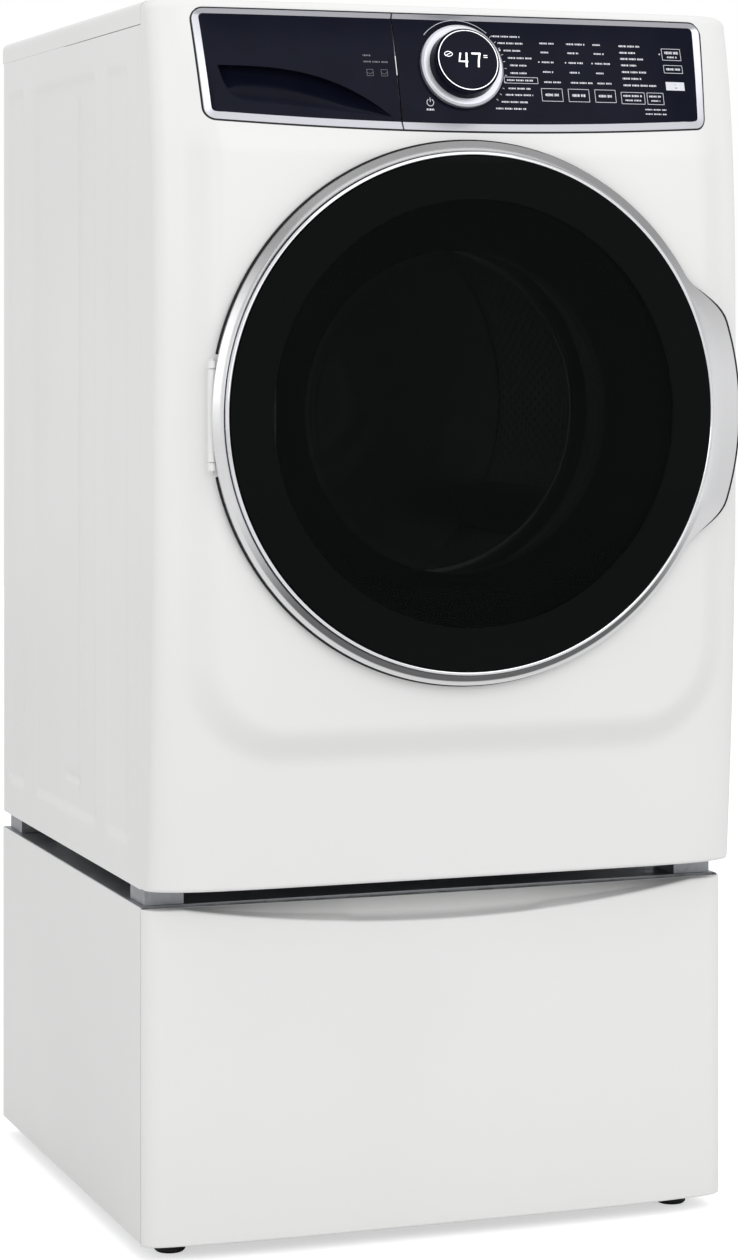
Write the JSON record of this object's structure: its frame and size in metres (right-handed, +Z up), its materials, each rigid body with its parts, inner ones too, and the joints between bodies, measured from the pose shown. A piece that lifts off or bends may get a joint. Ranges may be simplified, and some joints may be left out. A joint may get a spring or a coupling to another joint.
{
  "type": "front load washing machine",
  "caption": "Full-size front load washing machine with a round glass door, a slanted control panel and a storage drawer pedestal.",
  "frame": {"origin": "centre of the bounding box at floor level, under the feet", "axes": "+Z up; -Y towards the user, out of the door; +X to the right of someone facing the door"},
  "size_m": [0.686, 0.771, 1.36],
  "materials": {
    "white_enamel": "smooth gloss enamel",
    "silver_trim": "metallic silver paint",
    "chrome_trim": "polished",
    "dark_glass": "tinted, with a black printed border",
    "clear_glass": "clear moulded glass",
    "navy_gloss": "dark navy gloss",
    "stainless_steel": "brushed stainless",
    "galvanised_steel": "galvanised",
    "grey_rubber": "matt moulded rubber",
    "black_plastic": "matt black",
    "grey_plastic": "matt grey",
    "cast_iron": "as cast, painted dark",
    "tub_plastic": "pale filled polypropylene"
  },
  "bodies": {
    "cabinet": {"cabinet_side_left": "white_enamel", "cabinet_side_right": "white_enamel", "front_panel": "white_enamel", "top_cover": "white_enamel", "rear_panel": "white_enamel", "rear_access_cover": "white_enamel", "base_frame": "galvanised_steel", "hinge_bracket": "stainless_steel", "hinge_pin": "stainless_steel", "door_lock": "black_plastic", "inlet_valve": "grey_plastic", "power_inlet": "black_plastic", "drain_pump": "black_plastic", "console_trim": "silver_trim", "console_fascia": "navy_gloss", "display_lens": "navy_gloss", "dispenser_housing": "grey_plastic", "pedestal_shell": "white_enamel", "pedestal_top": "galvanised_steel", "pedestal_base": "galvanised_steel", "slide_rail_left": "galvanised_steel", "slide_rail_right": "galvanised_steel", "damper_body_left": "black_plastic", "damper_body_right": "black_plastic"},
    "dispenser_drawer": {"dispenser_fascia": "navy_gloss", "dispenser_trim": "silver_trim", "dispenser_tray": "grey_plastic"},
    "dial": {"cycle_dial": "silver_trim"},
    "door": {"door_outer_ring": "silver_trim", "door_chrome_ring": "chrome_trim", "door_outer_glass": "dark_glass", "door_inner_frame": "black_plastic", "door_glass_bowl": "clear_glass", "door_hinge_arm": "stainless_steel", "door_latch_hook": "stainless_steel"},
    "tub": {"door_gasket": "grey_rubber", "tub_front": "tub_plastic", "tub_rear": "tub_plastic", "counterweight": "cast_iron", "main_bearing": "stainless_steel", "heater": "stainless_steel", "drive_motor": "grey_plastic", "drive_belt": "black_plastic", "suspension_spring_left": "stainless_steel", "suspension_spring_right": "stainless_steel", "damper_rod_left": "stainless_steel", "damper_rod_right": "stainless_steel"},
    "drum": {"drum_shell": "stainless_steel", "drum_spider": "stainless_steel", "drum_baffle_1": "grey_plastic", "drum_baffle_2": "grey_plastic", "drum_baffle_3": "grey_plastic", "drum_pulley": "grey_plastic"},
    "motor_rotor": {"motor_pulley": "stainless_steel"},
    "storage_drawer": {"drawer_front": "white_enamel", "drawer_bin": "galvanised_steel"},
    "foot_1": {"levelling_foot_1": "black_plastic"},
    "foot_2": {"levelling_foot_2": "black_plastic"},
    "foot_3": {"levelling_foot_3": "black_plastic"},
    "foot_4": {"levelling_foot_4": "black_plastic"}
  },
  "joints": [
    {"name": "door_hinge", "type": "hinge", "parent": "cabinet", "child": "door", "pos_m": [-0.292, -0.3565, 0.914], "axis": [0, 0, -1], "range_deg": [0, 120]},
    {"name": "dispenser_slide", "type": "slide", "parent": "cabinet", "child": "dispenser_drawer", "axis": [0, -1, 0], "range_m": [0, 0.22]},
    {"name": "dial_turn", "type": "hinge", "parent": "cabinet", "child": "dial", "pos_m": [0.003, -0.324, 1.2915], "axis": [0, -0.9552, 0.296], "continuous": true},
    {"name": "tub_float", "type": "slide", "parent": "cabinet", "child": "tub", "axis": [0, 0, 1], "range_m": [-0.01, 0.01], "stiffness_N_per_m": 20000, "springref_m": 0.0211, "deforming": ["suspension_spring_left", "suspension_spring_right", "door_gasket"]},
    {"name": "drum_spin", "type": "hinge", "parent": "tub", "child": "drum", "pos_m": [0, 0.0405, 0.914], "axis": [0, 1, 0], "continuous": true},
    {"name": "motor_spin", "type": "hinge", "parent": "tub", "child": "motor_rotor", "pos_m": [0, 0.3305, 0.556], "axis": [0, 1, 0], "continuous": true},
    {"name": "storage_drawer_slide", "type": "slide", "parent": "cabinet", "child": "storage_drawer", "axis": [0, -1, 0], "range_m": [0, 0.42]},
    {"name": "foot_1_turn", "type": "hinge", "parent": "cabinet", "child": "foot_1", "pos_m": [-0.3, -0.2255, 0], "axis": [0, 0, 1], "continuous": true},
    {"name": "foot_2_turn", "type": "hinge", "parent": "cabinet", "child": "foot_2", "pos_m": [0.3, -0.2255, 0], "axis": [0, 0, 1], "continuous": true},
    {"name": "foot_3_turn", "type": "hinge", "parent": "cabinet", "child": "foot_3", "pos_m": [-0.3, 0.3305, 0], "axis": [0, 0, 1], "continuous": true},
    {"name": "foot_4_turn", "type": "hinge", "parent": "cabinet", "child": "foot_4", "pos_m": [0.3, 0.3305, 0], "axis": [0, 0, 1], "continuous": true}
  ],
  "couplings": [
    {"joint": "motor_spin", "follows": "drum_spin", "ratio": 12}
  ]
}
